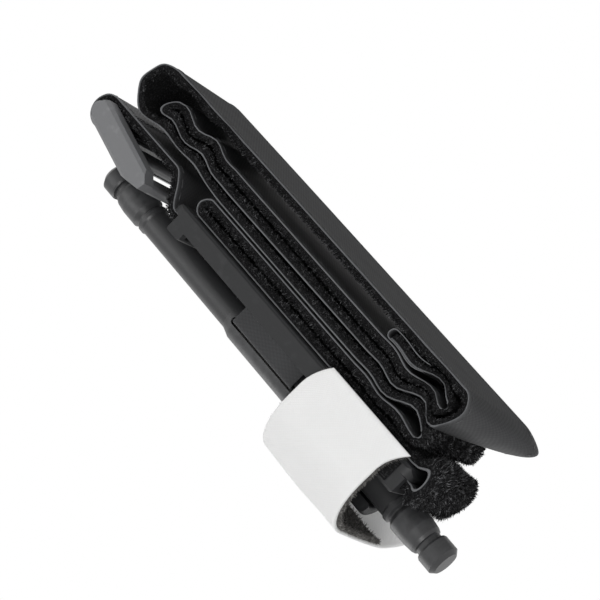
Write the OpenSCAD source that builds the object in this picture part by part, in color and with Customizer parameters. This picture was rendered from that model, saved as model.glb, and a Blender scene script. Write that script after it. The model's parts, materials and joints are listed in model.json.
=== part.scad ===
// Windlass tourniquet, folded for carrying.
// The long band lies in folds under a base plate. A windlass rod lies along the top, its end
// seated in an open hook and shut in by a writing strap that swings on a bar of the clip.
// The origin is on the rod's turning axis, on the flat back of the folded band.

/* [Band] */
// Width of the self-gripping band
band_w = 38; // [28:1:50]
// Thickness of the woven tape, the smooth face of the band
tape_t = 0.9; // [0.6:0.1:1.2]
// Thickness of the pull band that slides inside the band
inner_t = 0.6; // [0.4:0.1:0.8]
// Width of the pull band
inner_w = 25; // [18:1:26]
// Thickness of the hook and loop pile
pile_t = 1.1; // [0.7:0.1:1.4]
// Air between folded layers
fold_gap = 0.65; // [0.6:0.05:1.2]
// Length of the sealed cover on the band's free end
tip_len = 12; // [8:1:16]
// Thickness of the sealed cover
tip_t = 0.12; // [0.08:0.02:0.16]

/* [Base plate] */
// End of the plate under the bridge, from the turning axis
plate_bridge_end = 40.5; // [36:0.5:42.5]
// Thickness of the plate
plate_t = 2.8; // [2:0.2:4]
// Width of the side rims and of the clip's feet
rim_w = 2.4; // [1.6:0.2:3]
// Length of the bridge that the band passes under
bridge_len = 5; // [4:0.5:7]
// Thickness of the bridge
bridge_t = 1.6; // [1.2:0.2:2]

/* [Windlass rod] */
// Length of the rod
rod_len = 145; // [120:1:174]
// Diameter of the shaft
rod_d = 8.6; // [7:0.2:10.4]
// How far the grip collars stand out from the shaft
collar_rise = 0.6; // [0.3:0.1:1]
// Length of the grip collars
collar_len = 10; // [8:0.5:14]
// Length of the end knobs
knob_len = 5.6; // [4:0.2:8]
// How far the middle boss stands out from the shaft
boss_rise = 0.9; // [0.6:0.1:1.4]
// Width of the slot through the boss
slot_h = 2; // [1.6:0.1:2.6]

/* [Clip] */
// Length of the hook along the rod
hook_len = 20; // [14:1:24]
// Thickness of the hook's wall
hook_t = 3; // [2.4:0.1:4]
// Thickness of the clip's floor
floor_t = 2; // [1.6:0.1:2.6]
// Room between the rod and the hook
hook_room = 0.9; // [0.7:0.1:1.2]
// Diameter of the bar that the strap swings on
anchor_d = 3; // [2.4:0.1:3.6]
// Room between the pull band's turning loop and the clip
clip_gap = 7.7; // [0.7:0.5:12.2]

/* [Strap] */
// Width of the strap
strap_w = 30; // [24:1:36]
// Thickness of the strap's white face
strap_t = 0.9; // [0.6:0.1:1.2]
// Thickness of the strap's gripping lining
lining_t = 0.8; // [0.5:0.1:1]
// Radius of the strap's bends, to the middle of the face
bend_r = 14; // [9:0.5:16]
// Air between the hook and the strap that arches over it
strap_rise = 2.6; // [0.6:0.2:4]
// Thickness of the grip patch on the clip's side
patch_t = 0.7; // [0.4:0.1:1]

/* [Buckle] */
// Length of the buckle from its hinge bar
buckle_len = 26; // [24:1:31]
// Width of each side rail
rail_w = 5; // [4:0.5:6]
// Height of the side rails
rail_h = 7; // [6:0.2:8.4]
// Diameter of the hinge bar
hinge_d = 4; // [3:0.1:4.8]
// Hinge bar, from the turning axis
hinge_x = 75.5; // [74.5:0.5:92]
// Angle at which the buckle leans up towards the rod's end
buckle_tilt = 11.8; // [9:0.2:14]

/* [Hidden] */
$fn = 64;

run_gap = 0.3;     // air between pieces that move on each other
seat_gap = 0.2;    // air between the band and what it slides through
side_gap = 0.6;    // air beside the band's edges
rod_room = 1.1;    // air between the rod and what it turns over
turn_steps = 10;   // straight pieces in half a turn of the band
join = 0.01;       // how far one form reaches into the next, so that they are one solid

// Levels of the folded layers, counted up from the base
band_t = tape_t + inner_t + pile_t;
layer_pitch = band_t + fold_gap;
top_layer = 6;
function layer_z(k) = band_t / 2 + k * layer_pitch;

plate_z = layer_z(top_layer) + band_t / 2 + run_gap;
plate_top = plate_z + plate_t;
top_run_z = plate_top + run_gap + band_t / 2;
top_run_face = top_run_z + band_t / 2;
floor_z = top_run_face + seat_gap;
floor_top = floor_z + floor_t;
rod_z = floor_top + rod_room + rod_d / 2;
collar_r = rod_d / 2 + collar_rise;
boss_r = rod_d / 2 + boss_rise;

// Across the plate: the band, a little room, then the rims and the clip's feet
channel_w = band_w + 2 * side_gap;
plate_w = channel_w + 2 * rim_w;

// The pull band's loop hangs close beside the boss and sweeps a circle as the rod turns
bend_in = 0.4;
leg_y = boss_r + run_gap;
leg_out = leg_y + bend_in + inner_t;
loop_sweep = norm([inner_w / 2, leg_out]);

// The clip stands past that circle, with ears past the strap that hold the bar
ear_t = 1.7;
ear_gap = 0.5;
plate_ledge = 0.8;
clip_len = strap_w + 2 * (ear_gap + ear_t);
hook_x = loop_sweep + clip_gap + clip_len / 2;
plate_hook_end = hook_x + clip_len / 2 + plate_ledge;
anchor_room = anchor_d / 2 + run_gap;
anchor_y = plate_w / 2 + anchor_room + strap_t + run_gap;
anchor_z = floor_top - anchor_room - strap_t;

// The hook is round about the rod, and the strap clears the hook
hook_in = rod_d / 2 + hook_room;
hook_out = hook_in + hook_t;
strap_top = rod_z + hook_out + strap_rise + lining_t + strap_t / 2;
strap_shut_y = -(plate_w / 2 + patch_t + seat_gap + lining_t + strap_t / 2);
strap_end_z = plate_z + 0.4;
strap_root_y = anchor_y + anchor_room + strap_t / 2;

// The buckle stays under the rod's sweep, and the band's fixed end goes round its hinge bar
rail_slope = 6.5;
buckle_rise = (buckle_len - rail_slope) * sin(buckle_tilt) + rail_h / 2 * cos(buckle_tilt);
hinge_z = rod_z - collar_r - rod_room - buckle_rise;
loop_room = 0.4;
loop_r = hinge_d / 2 + loop_room + band_t / 2;
low_run_z = hinge_z - loop_r;

// Where the folds turn: past the hook, and past the buckle
front_turn = -(plate_hook_end + 0.5);
pair_turn = -(plate_hook_end - 8);
outer_turn = -(plate_hook_end - 4);
nest_turn = outer_turn + 2;
tip_x = nest_turn + 24;
short_turn = plate_bridge_end - 6;
back_turn = hinge_x - 7;
back_nest = back_turn - 6;
drop_start = plate_bridge_end + 0.5;
drop_end = drop_start + 9;
drop_steps = 8;

// Points on an arc of the given sweep, counterclockwise where it is positive
function arc(x, z, r, from, sweep) =
    [for (i = [0 : turn_steps]) let (a = from + sweep * i / turn_steps) [x + r * cos(a), z + r * sin(a)]];
function fold(x, low, high, from, sweep) =
    arc(x, (low + high) / 2, (high - low) / 2, from, sweep);
// The band steps down in a cosine from the plate to the run under the buckle
function drop(t) =
    [drop_end + (drop_start - drop_end) * t, low_run_z + (top_run_z - low_run_z) * (1 - cos(180 * t)) / 2];

// The middle line of the band, from its sewn end at the buckle to its free end
sewn_reach = 8;
sewn_rise = [2.6, 1];
sewn_end = [hinge_x - sewn_reach, low_run_z + band_t + 0.5];
band_line = concat(
    [sewn_end, sewn_end + sewn_rise],
    arc(hinge_x, hinge_z, loop_r, 115, -205),
    [for (i = [0 : drop_steps]) drop(i / drop_steps)],
    fold(front_turn, layer_z(6), top_run_z, 90, 180),
    fold(short_turn, layer_z(5), layer_z(6), 90, -180),
    fold(pair_turn, layer_z(4), layer_z(5), 90, 180),
    fold(back_turn, layer_z(0), layer_z(4), 90, -180),
    fold(outer_turn, layer_z(0), layer_z(3), -90, -180),
    fold(back_nest, layer_z(2), layer_z(3), 90, -180),
    fold(nest_turn, layer_z(1), layer_z(2), 90, 180),
    [[tip_x, layer_z(1)]]);

function heading(a, b) = (b - a) / norm(b - a);
function tangent(p, i) =
    i == 0 ? heading(p[0], p[1]) :
    i == len(p) - 1 ? heading(p[i - 1], p[i]) :
    heading([0, 0], heading(p[i - 1], p[i]) + heading(p[i], p[i + 1]));
// The line moved sideways by d, to its left where d is positive
function beside(p, d) = [for (i = [0 : len(p) - 1])
    let (t = tangent(p, i), s = i < len(p) - 1 ? heading(p[i], p[i + 1]) : heading(p[i - 1], p[i]))
    p[i] + d / (t * s) * [-t[1], t[0]]];
function reversed(p) = [for (i = [len(p) - 1 : -1 : 0]) p[i]];
function ribbon(p, d0, d1) = concat(beside(p, d0), reversed(beside(p, d1)));

// Least air between folds, on points a step apart that lie further along the band than a turn
fine_step = 1.5;
fine_skip = 9;
function between(a, b) = let (n = max(1, floor(norm(b - a) / fine_step)))
    [for (i = [0 : n - 1]) a + (b - a) * i / n];
fine_line = [for (i = [0 : len(band_line) - 2]) each between(band_line[i], band_line[i + 1])];
fold_air = min([for (i = [0 : len(fine_line) - 1 - fine_skip], j = [i + fine_skip : len(fine_line) - 1])
    norm(fine_line[i] - fine_line[j])]) - band_t;
steps_along = [for (i = [0 : len(band_line) - 2]) norm(band_line[i + 1] - band_line[i])];
band_len = steps_along * [for (s = steps_along) 1];
echo(least_air_between_folds = fold_air, band_cut_length = band_len);

// A profile drawn in x and z, carried across the band's width
module across(width) {
    rotate([90, 0, 0])
        linear_extrude(width, center = true)
            children();
}

// A profile drawn in y and z, carried along the rod from x = from
module along(from, length) {
    translate([from, 0, 0])
        rotate([90, 0, 90])
            linear_extrude(length)
                children();
}

module rounded_square(size, r) {
    square([size[0] - 2 * r, size[1]], center = true);
    square([size[0], size[1] - 2 * r], center = true);
    for (sx = [-1, 1], sy = [-1, 1])
        translate([sx * (size[0] / 2 - r), sy * (size[1] / 2 - r)])
            circle(r);
}

// A long edge cut at 45 degrees, along x where turn is [45, 0, 0] and along y where it is [0, 45, 0]
module edge_cut(turn, cut, length) {
    side = cut * sqrt(2);
    rotate(turn)
        cube(turn[0] > 0 ? [length, side, side] : [side, length, side], center = true);
}

// Tenons under the clip's feet, and the same shape with room for the plate's sockets
tenon_len = 5;
tenon_depth = 1.5;
tenon_room = 0.05;
module tenons(room) {
    for (sx = [-1, 1], sy = [-1, 1])
        translate([-hook_x + sx * clip_len / 4, sy * (plate_w - rim_w) / 2, plate_top - tenon_depth - room])
            linear_extrude(tenon_depth + room + join)
                square([tenon_len, rim_w - 1] + 2 * room * [1, 1], center = true);
}

// The base plate, with rims that guide the band and a bridge over it
module base_plate() {
    corner_r = 3;
    bevel = 1.6;
    side_cut = 0.7;
    plate_len = plate_hook_end + plate_bridge_end;
    rim_from = -hook_x + clip_len / 2 + run_gap;
    rim_to = plate_bridge_end - corner_r;
    rim_drop = 0.6;
    rim_h = band_t + run_gap - rim_drop;
    bridge_x = rim_to - bridge_len;
    color("#2b2c2e")
    difference() {
        union() {
            translate([(plate_bridge_end - plate_hook_end) / 2, 0, plate_z])
                linear_extrude(plate_t)
                    rounded_square([plate_len, plate_w], corner_r);
            for (sy = [-1, 1])
                translate([0, sy * (plate_w - rim_w) / 2 - rim_w / 2, plate_top - join]) {
                    translate([rim_from, 0, 0])
                        cube([rim_to - rim_from, rim_w, rim_h + join]);
                    translate([bridge_x, 0, 0])
                        cube([bridge_len, rim_w, floor_z - plate_top + bridge_t / 2]);
                }
            // The bridge is round along both of its edges
            translate([bridge_x + bridge_len / 2, 0, floor_z + bridge_t / 2])
                across(plate_w)
                    rounded_square([bridge_len, bridge_t], bridge_t / 2 - join);
        }
        tenons(tenon_room);
        // The ends are bevelled underneath, so that they slide over the folds
        for (x = [-plate_hook_end, plate_bridge_end])
            translate([x, 0, plate_z])
                edge_cut([0, 45, 0], bevel, plate_w + 2);
        for (y = [-plate_w / 2, plate_w / 2])
            translate([0, y, plate_z])
                edge_cut([45, 0, 0], side_cut, 2 * plate_len);
    }
}

// The hook: a ring round the rod from below it, up its back and over to the front, with round edges
module hook() {
    edge_r = 1;
    brace = 5;
    brace_inset = 1.4;
    brace_top = hook_out - 0.5;
    mouth_angle = 208;
    base_z = floor_top - join;
    intersection() {
        union() {
            translate([-hook_x, 0, rod_z])
                rotate([0, 90, 0])
                    rotate_extrude(angle = mouth_angle)
                        translate([hook_in + hook_t / 2, 0])
                            rounded_square([hook_t, hook_len], edge_r);
            along(-hook_x - hook_len / 2 + brace_inset, hook_len - 2 * brace_inset)
                difference() {
                    polygon([[0, base_z], [hook_out + brace, base_z], [brace_top, rod_z], [0, rod_z]]);
                    translate([0, rod_z])
                        circle(hook_in + edge_r);
                }
        }
        translate([-hook_x - clip_len / 2, -2 * hook_out, base_z])
            cube([clip_len, 4 * hook_out, 2 * hook_out + rod_d]);
    }
}

module floor_profile() {
    translate([-plate_w / 2, floor_z])
        square([plate_w, floor_t]);
    for (sy = [-1, 1])
        translate([sy * (plate_w - rim_w) / 2 - rim_w / 2, plate_top])
            square([rim_w, floor_z - plate_top + join]);
}

module ear_profile() {
    ear_r = anchor_d / 2 + 0.6;
    translate([anchor_y, anchor_z])
        circle(ear_r);
    translate([plate_w / 2 - join, anchor_z - ear_r])
        square([anchor_y - plate_w / 2 + join, 2 * ear_r]);
}

module windlass_clip() {
    clip_from = -hook_x - clip_len / 2;
    floor_cut = 0.6;
    color("#2f3032")
    union() {
        difference() {
            along(clip_from, clip_len)
                floor_profile();
            for (x = [clip_from, clip_from + clip_len])
                translate([x, 0, floor_top])
                    edge_cut([0, 45, 0], floor_cut, plate_w + 2);
            translate([-hook_x, -plate_w / 2, floor_top])
                edge_cut([45, 0, 0], floor_cut, clip_len + 2);
        }
        tenons(0);
        hook();
        for (x = [clip_from, clip_from + clip_len - ear_t])
            along(x, ear_t)
                ear_profile();
        along(clip_from, clip_len)
            translate([anchor_y, anchor_z])
                circle(d = anchor_d);
    }
}

// The patch on the clip's side that the strap's lining grips
module grip_patch() {
    margin = 1;
    color("#1a1a1b")
        along(-hook_x - strap_w / 2 + margin, strap_w - 2 * margin)
            translate([-plate_w / 2 - patch_t, plate_z + margin])
                square([patch_t, floor_top - plate_z - 2 * margin]);
}

// One half of the rod: boss, shaft, a ring, the grip collar, a neck and the knob
module rod_half() {
    half = rod_len / 2;
    r = rod_d / 2;
    boss_half = inner_w / 2 + 1.5;
    boss_taper = 1.5;
    ring_r = r + 0.35;
    ring_len = 1.8;
    groove_r = r - 0.4;
    groove_len = 1.2;
    collar_fall = 0.35;
    neck_r = r - 0.6;
    neck_len = 1.4;
    knob_r = r + 0.3;
    knob_edge = 0.5;
    knob_bevel = 1.1;
    knob_x = half - knob_len;
    collar_end = knob_x - neck_len;
    collar_x = collar_end - collar_len;
    groove_x = collar_x - groove_len;
    ring_x = groove_x - ring_len;
    rotate([0, 90, 0])
        rotate_extrude()
            polygon([[0, 0], [boss_r, 0], [boss_r, boss_half - boss_taper], [r, boss_half + boss_taper],
                     [r, ring_x], [ring_r, ring_x + ring_len / 3], [ring_r, groove_x],
                     [groove_r, groove_x + knob_edge], [groove_r, collar_x - knob_edge / 2],
                     [collar_r, collar_x + 2 * knob_edge], [collar_r, collar_x + 0.6 * collar_len],
                     [collar_r - collar_fall, collar_end - knob_bevel],
                     [collar_r - 2 * collar_fall, collar_end - knob_edge / 2],
                     [neck_r, collar_end], [neck_r, knob_x], [knob_r - knob_edge / 2, knob_x],
                     [knob_r, knob_x + knob_edge], [knob_r, half - knob_bevel],
                     [knob_r - knob_bevel, half], [0, half]]);
}

module windlass_rod() {
    slot_len = inner_w + 2 * run_gap;
    color("#3a3b3d")
    translate([0, 0, rod_z])
        difference() {
            union() {
                rod_half();
                rotate([0, 0, 180])
                    rod_half();
            }
            across(4 * boss_r)
                rounded_square([slot_len + slot_h, slot_h], slot_h / 2 - join);
        }
}

// The loop of pull band that passes through the rod's slot and hangs down on both sides
module inner_band_loop() {
    leg_low = top_run_face + run_gap;
    bend_out = bend_in + inner_t;
    bend_z = rod_z + inner_t / 2 - bend_out;
    color("#202123")
        along(-inner_w / 2, inner_w) {
            translate([0, rod_z])
                square([2 * leg_y, inner_t], center = true);
            for (sy = [0, 1])
                mirror([sy, 0])
                    translate([leg_y, bend_z]) {
                        intersection() {
                            difference() {
                                circle(bend_out);
                                circle(bend_in);
                            }
                            square(2 * bend_out);
                        }
                        translate([bend_in, leg_low - bend_z])
                            square([inner_t, bend_z - leg_low]);
                    }
        }
}

// The three layers of the band, each along the same line
module band_tape() {
    color("#3b3c3e")
        across(band_w)
            polygon(ribbon(band_line, band_t / 2 - tape_t, band_t / 2));
}

module inner_band() {
    slide = 0.05;
    color("#202123")
        across(inner_w)
            polygon(ribbon(band_line, -band_t / 2 + pile_t + slide, band_t / 2 - tape_t - slide));
}

module band_pile() {
    slit_w = inner_w + 1;
    color("#111112")
    difference() {
        across(band_w)
            polygon(ribbon(band_line, -band_t / 2, -band_t / 2 + pile_t));
        // The slit in the upper run, where the pull band comes up to the rod
        translate([0, 0, top_run_face])
            cube([slit_w, slit_w, 2 * pile_t + join], center = true);
    }
}

// A thin sealed cover folded round the free end
module band_tip() {
    last = len(band_line) - 1;
    end = band_line[last];
    way = heading(band_line[last - 1], end);
    half = band_t / 2;
    color("#242527")
        across(band_w)
            difference() {
                polygon(ribbon([end - tip_len * way, end + tip_t * way], -half - tip_t, half + tip_t));
                polygon(ribbon([end - 2 * tip_len * way, end], -half, half));
            }
}

// The strap's middle line: up from the bar, over the hook in an arch and down to the grip patch
root_bend = arc(strap_root_y - bend_r, strap_top - bend_r, bend_r, 0, 90);
shut_bend = arc(strap_shut_y + bend_r, strap_top - bend_r, bend_r, 90, 90);

module time_strap() {
    line = concat([[strap_root_y, anchor_z]], root_bend, shut_bend, [[strap_shut_y, strap_end_z]]);
    color("#f2f2ef")
        along(-hook_x - strap_w / 2, strap_w) {
            polygon(ribbon(line, -strap_t / 2, strap_t / 2));
            translate([anchor_y, anchor_z])
                difference() {
                    circle(anchor_room + strap_t);
                    circle(anchor_room);
                }
        }
}

// The lining starts in the flat of the arch and runs to the strap's free end
module strap_lining() {
    margin = 0.5;
    start = [strap_root_y - bend_r - 1, strap_top];
    line = concat([start], shut_bend, [[strap_shut_y, strap_end_z + margin]]);
    color("#161617")
        along(-hook_x - strap_w / 2 + margin, strap_w - 2 * margin)
            polygon(ribbon(line, strap_t / 2, strap_t / 2 + lining_t));
}

// One rail of the buckle from the side: its hinge end is cut at a slant, its free end sloped
module rail_profile() {
    h = rail_h / 2;
    eye_wall = 0.4;
    hinge_top = -0.2;
    hinge_low = 1.6;
    heel = [0.8, 1.4];
    toe = [3.5, 2];
    toe_drop = 2.6;
    circle(hinge_d / 2 + eye_wall);
    polygon([[hinge_top, h], [hinge_low, -h + heel[1]], [hinge_low - heel[0], -h],
             [-buckle_len + toe[0], -h], [-buckle_len, -h + toe[1]],
             [-buckle_len, h - toe_drop], [-buckle_len + rail_slope, h]]);
}

// The friction buckle, drawn flat behind its hinge bar and then leaned up towards the rod's end
module buckle_frame() {
    bar_t = 3.2;
    bar_l = 4.5;
    bar_r = 1.2;
    bar_inset = 0.2;
    friction_x = -(buckle_len - 1) / 2;
    tooth = 0.7;
    tooth_step = 1.4;
    bevel = 0.9;
    color("#4a4b4d")
    translate([hinge_x, 0, hinge_z])
        rotate([0, buckle_tilt, 0]) {
            for (sy = [-1, 1])
                translate([0, sy * (channel_w + rail_w) / 2, 0])
                    difference() {
                        across(rail_w)
                            rail_profile();
                        // The rail's outer edges are bevelled
                        for (z = [-rail_h / 2, rail_h / 2])
                            translate([0, sy * rail_w / 2, z])
                                edge_cut([45, 0, 0], bevel, 3 * buckle_len);
                    }
            across(channel_w + 2 * join)
                circle(d = hinge_d);
            across(channel_w + 2 * join)
                translate([friction_x, 0]) {
                    rounded_square([bar_l, bar_t], bar_r);
                    for (i = [-1 : 1])
                        translate([i * tooth_step, bar_t / 2])
                            circle(tooth, $fn = 4);
                }
            across(channel_w + 2 * join)
                translate([-buckle_len + bar_l / 2 + bar_inset, 0])
                    rounded_square([bar_l, bar_t], bar_r);
        }
}

base_plate();
windlass_clip();
grip_patch();
windlass_rod();
inner_band_loop();
band_tape();
inner_band();
band_pile();
band_tip();
time_strap();
strap_lining();
buckle_frame();
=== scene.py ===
import json
import math
import bpy
import numpy as np
from mathutils import Matrix, Vector


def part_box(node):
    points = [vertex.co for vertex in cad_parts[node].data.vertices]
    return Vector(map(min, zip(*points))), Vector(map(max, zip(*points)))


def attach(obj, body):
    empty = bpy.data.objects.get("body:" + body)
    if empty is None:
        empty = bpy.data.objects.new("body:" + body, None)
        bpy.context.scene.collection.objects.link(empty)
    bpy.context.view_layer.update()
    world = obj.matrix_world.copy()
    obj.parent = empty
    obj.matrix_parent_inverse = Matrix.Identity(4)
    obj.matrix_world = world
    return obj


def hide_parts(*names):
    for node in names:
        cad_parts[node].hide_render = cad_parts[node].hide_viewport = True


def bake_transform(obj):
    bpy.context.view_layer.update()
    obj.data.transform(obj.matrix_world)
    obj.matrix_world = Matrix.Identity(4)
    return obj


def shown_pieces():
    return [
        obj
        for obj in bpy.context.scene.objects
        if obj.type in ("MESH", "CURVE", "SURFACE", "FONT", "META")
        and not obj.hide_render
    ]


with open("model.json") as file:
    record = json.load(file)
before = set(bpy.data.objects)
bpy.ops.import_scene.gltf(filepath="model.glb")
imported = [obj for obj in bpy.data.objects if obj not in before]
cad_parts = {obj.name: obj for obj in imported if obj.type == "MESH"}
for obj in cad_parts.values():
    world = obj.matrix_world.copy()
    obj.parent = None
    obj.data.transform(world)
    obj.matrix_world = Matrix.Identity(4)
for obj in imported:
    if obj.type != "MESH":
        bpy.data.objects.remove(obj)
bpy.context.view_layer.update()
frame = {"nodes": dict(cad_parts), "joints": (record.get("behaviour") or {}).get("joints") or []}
mm = 0.001
dice = np.random.default_rng(11)
pivots = {j["name"]: np.array(j["pos_m"]) / mm for j in frame["joints"]}
rodZ = pivots["windlass_turn"][2]
barY, barZ = pivots["strap_open"][1:]
hingeX, hingeZ = pivots["buckle_rock"][0], pivots["buckle_rock"][2]
print("frame loaded:", len(frame["nodes"]), "nodes")


def ease(t):  # 0 below 0, 1 above 1, and 3t^2 - 2t^3 between
    t = np.clip(t, 0, 1)
    return t * t * (3 - 2 * t)


def unit(v):  # rows of vectors, each divided by its length
    return v / np.linalg.norm(v, axis=1, keepdims=True)


def putMesh(name, finishOf, points, faces, uv=None, marks=None, smooth=True):  # points in millimetres
    points = np.asarray(points, float).reshape(-1, 3)
    faces = np.asarray(faces, np.int64)
    mesh = bpy.data.meshes.new(name)
    mesh.vertices.add(len(points))
    mesh.vertices.foreach_set("co", (points * mm).astype(np.float32).ravel())
    mesh.loops.add(faces.size)
    mesh.loops.foreach_set("vertex_index", faces.astype(np.int32).ravel())
    mesh.polygons.add(len(faces))
    mesh.polygons.foreach_set("loop_start", np.arange(0, faces.size, faces.shape[1], dtype=np.int32))
    mesh.polygons.foreach_set("use_smooth", np.full(len(faces), smooth))
    if uv is not None:
        cornerUv = np.asarray(uv, np.float32).reshape(-1, 2)[faces.ravel()]
        mesh.uv_layers.new(name="cloth").data.foreach_set("uv", cornerUv.ravel())
    for key, values in (marks or {}).items():
        layer = mesh.attributes.new(key, "FLOAT", "POINT")
        layer.data.foreach_set("value", np.asarray(values, np.float32).ravel())
    mesh.update(calc_edges=True)
    mesh.materials.append(finishOf)
    obj = bpy.data.objects.new(name, mesh)
    bpy.context.scene.collection.objects.link(obj)
    return obj


def outward(points, faces):  # turns a skin round if its volume, the sum of a.(b x c) / 6, is negative
    p = points.reshape(-1, 3)
    a, b, c, d = (p[faces[:, k]] for k in range(4))
    volume = (a * np.cross(b, c)).sum() + (a * np.cross(c, d)).sum()
    return faces if volume > 0 else faces[:, ::-1]


def arc(x, z, r, start, sweep, steps):  # points on a circle, counterclockwise where sweep is positive
    a = np.radians(start + sweep * np.linspace(0, 1, steps + 1))
    return np.stack([x + r * np.cos(a), z + r * np.sin(a)], 1)


def route(pieces, step):
    # joins the pieces with straight runs cut to the step; gives points, length, piece number and left normal
    points = np.concatenate(pieces)
    tags = np.repeat(np.arange(len(pieces)), [len(p) for p in pieces])
    gaps = np.linalg.norm(np.diff(points, axis=0), axis=1)
    cuts = np.maximum(1, np.ceil(gaps / step)).astype(int)
    at = np.repeat(np.arange(len(gaps)), cuts)
    part = (np.arange(cuts.sum()) - np.repeat(np.cumsum(cuts) - cuts, cuts)) / np.repeat(cuts, cuts)
    fine = np.concatenate([points[at] + (points[at + 1] - points[at]) * part[:, None], points[-1:]])
    along = np.concatenate([[0], np.cumsum(np.linalg.norm(np.diff(fine, axis=0), axis=1))])
    way = unit(np.gradient(fine, along, axis=0))
    return fine, along, np.append(tags[at], tags[-1]), np.stack([-way[:, 1], way[:, 0]], 1)


def columns(width, edge, count):  # places across a tape, crowded at its round edges
    turn = edge * (1 - np.cos(np.radians([0, 25, 50, 70, 90])))
    inner = np.linspace(-width / 2 + edge, width / 2 - edge, count)[1:-1]
    return np.concatenate([-width / 2 + turn, inner, width / 2 - turn[::-1]])


def tapeSkin(place, across, low, high, edge, width):
    # closed tape: place(v, d) gives a point of each row, and d runs from low to high
    # towards an edge the two faces close in a half round, sqrt(1 - over^2), and a thin wall is left
    over = np.clip((np.abs(across) - (width / 2 - edge)) / edge, 0, 1)
    thinWall = 0.015
    rim = np.sqrt(np.maximum(1 - over * over, thinWall))
    mid, half = (low + high) / 2, (high - low) / 2
    top, bottom = place(across, mid + half * rim), place(across, mid - half * rim)
    points = np.concatenate([top, bottom[:, ::-1]], 1)
    rows, m = points.shape[0], len(across)
    ring = np.arange(2 * m)
    i, j, k = np.arange(rows - 1)[:, None] * 2 * m, ring[None], np.roll(ring, -1)[None]
    sides = np.stack(np.broadcast_arrays(i + j, i + 2 * m + j, i + 2 * m + k, i + k), -1).reshape(-1, 4)
    c = np.arange(m - 1)
    cap = np.stack([c, c + 1, 2 * m - 2 - c, 2 * m - 1 - c], 1)
    faces = np.concatenate([sides, cap, (cap + (rows - 1) * 2 * m)[:, ::-1]])
    return points, outward(points, faces)


def ribbon(name, finishOf, along, place, across, low, high, edge, width, pale, fade, strength=1.0):
    # a closed tape with its length and width as UV, and a mark that is 1 on the pale strip at its edges
    shape = (len(along), len(across))
    low, high = np.broadcast_to(low, shape), np.broadcast_to(high, shape)
    points, faces = tapeSkin(place, across, low, high, edge, width)
    v = np.broadcast_to(np.concatenate([across, across[::-1]]), points.shape[:2])
    u = np.broadcast_to(along[:, None], v.shape)
    selvedge = ease((np.abs(v) - (width / 2 - pale)) / fade) * strength
    return putMesh(name, finishOf, points, faces, np.stack([u, v], -1), {"selvedge": selvedge})


def blades(root, lean, length, thick, shade):
    # short fibres: each a narrow strip of three triangles that bends over at its tip
    n, bendAt, taper = len(root), 0.55, 0.8
    side = unit(np.cross(lean, dice.normal(size=(n, 3))))
    curl = np.cross(side, lean) * dice.uniform(-0.6, 0.6, (n, 1))
    half = side * (thick / 2)
    reach = lean * length[:, None]
    mid = root + reach * bendAt
    tip = root + reach + curl * length[:, None]
    points = np.stack([root - half, root + half, mid - half * taper, mid + half * taper, tip], 1)
    strip = np.array([[0, 1, 3], [0, 3, 2], [2, 3, 4]])
    faces = (np.arange(n)[:, None, None] * 5 + strip).reshape(-1, 3)
    return points, faces, {"tip": np.tile([0, 0, bendAt, bendAt, 1.0], n), "shade": np.repeat(shade, 5)}


def clumps(u, v, size):  # a random shade for each small square of the cloth, and a little for each fibre
    square = (np.floor(u / size).astype(int) * 7919 + np.floor(v / size).astype(int) * 104729) % 4096
    return np.clip(dice.uniform(0, 1, 4096)[square] + dice.normal(scale=0.08, size=len(u)), 0, 1)


def fibres(name, finishOf, fibre, root, lean, u, v, lay):  # lay is the soft field that the fibres go through
    long = dice.uniform(fibre["shortest"], fibre["longest"], len(root))
    points, faces, marks = blades(root, unit(lean), long, fibre["thick"], clumps(u, v, fibre["clump"]))
    return putMesh(name, finishOf, lay(points), faces, None, marks, False)


def stitchRow(middle, along, up, length, width, height):  # each stitch is half an ellipsoid
    rows, cols = 7, 4
    t = np.linspace(0, np.pi, rows)[:, None]
    a = np.linspace(-0.15, 1.15, cols)[None] * np.pi
    x = np.cos(t) * length / 2 + 0 * a
    y = np.sin(t) * np.cos(a) * width / 2
    z = np.sin(t) * np.sin(a) * height
    x, y, z = (part.reshape(1, -1, 1) for part in (x, y, z))
    points = middle[:, None] + x * along[:, None] + y * np.cross(up, along)[:, None] + z * up[:, None]
    i, j = np.meshgrid(np.arange(rows - 1) * cols, np.arange(cols - 1), indexing="ij")
    quads = np.stack([i + j, i + j + 1, i + j + cols + 1, i + j + cols], -1).reshape(-1, 4)
    return points, (np.arange(len(middle))[:, None, None] * (rows * cols) + quads).reshape(-1, 4)


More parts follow.
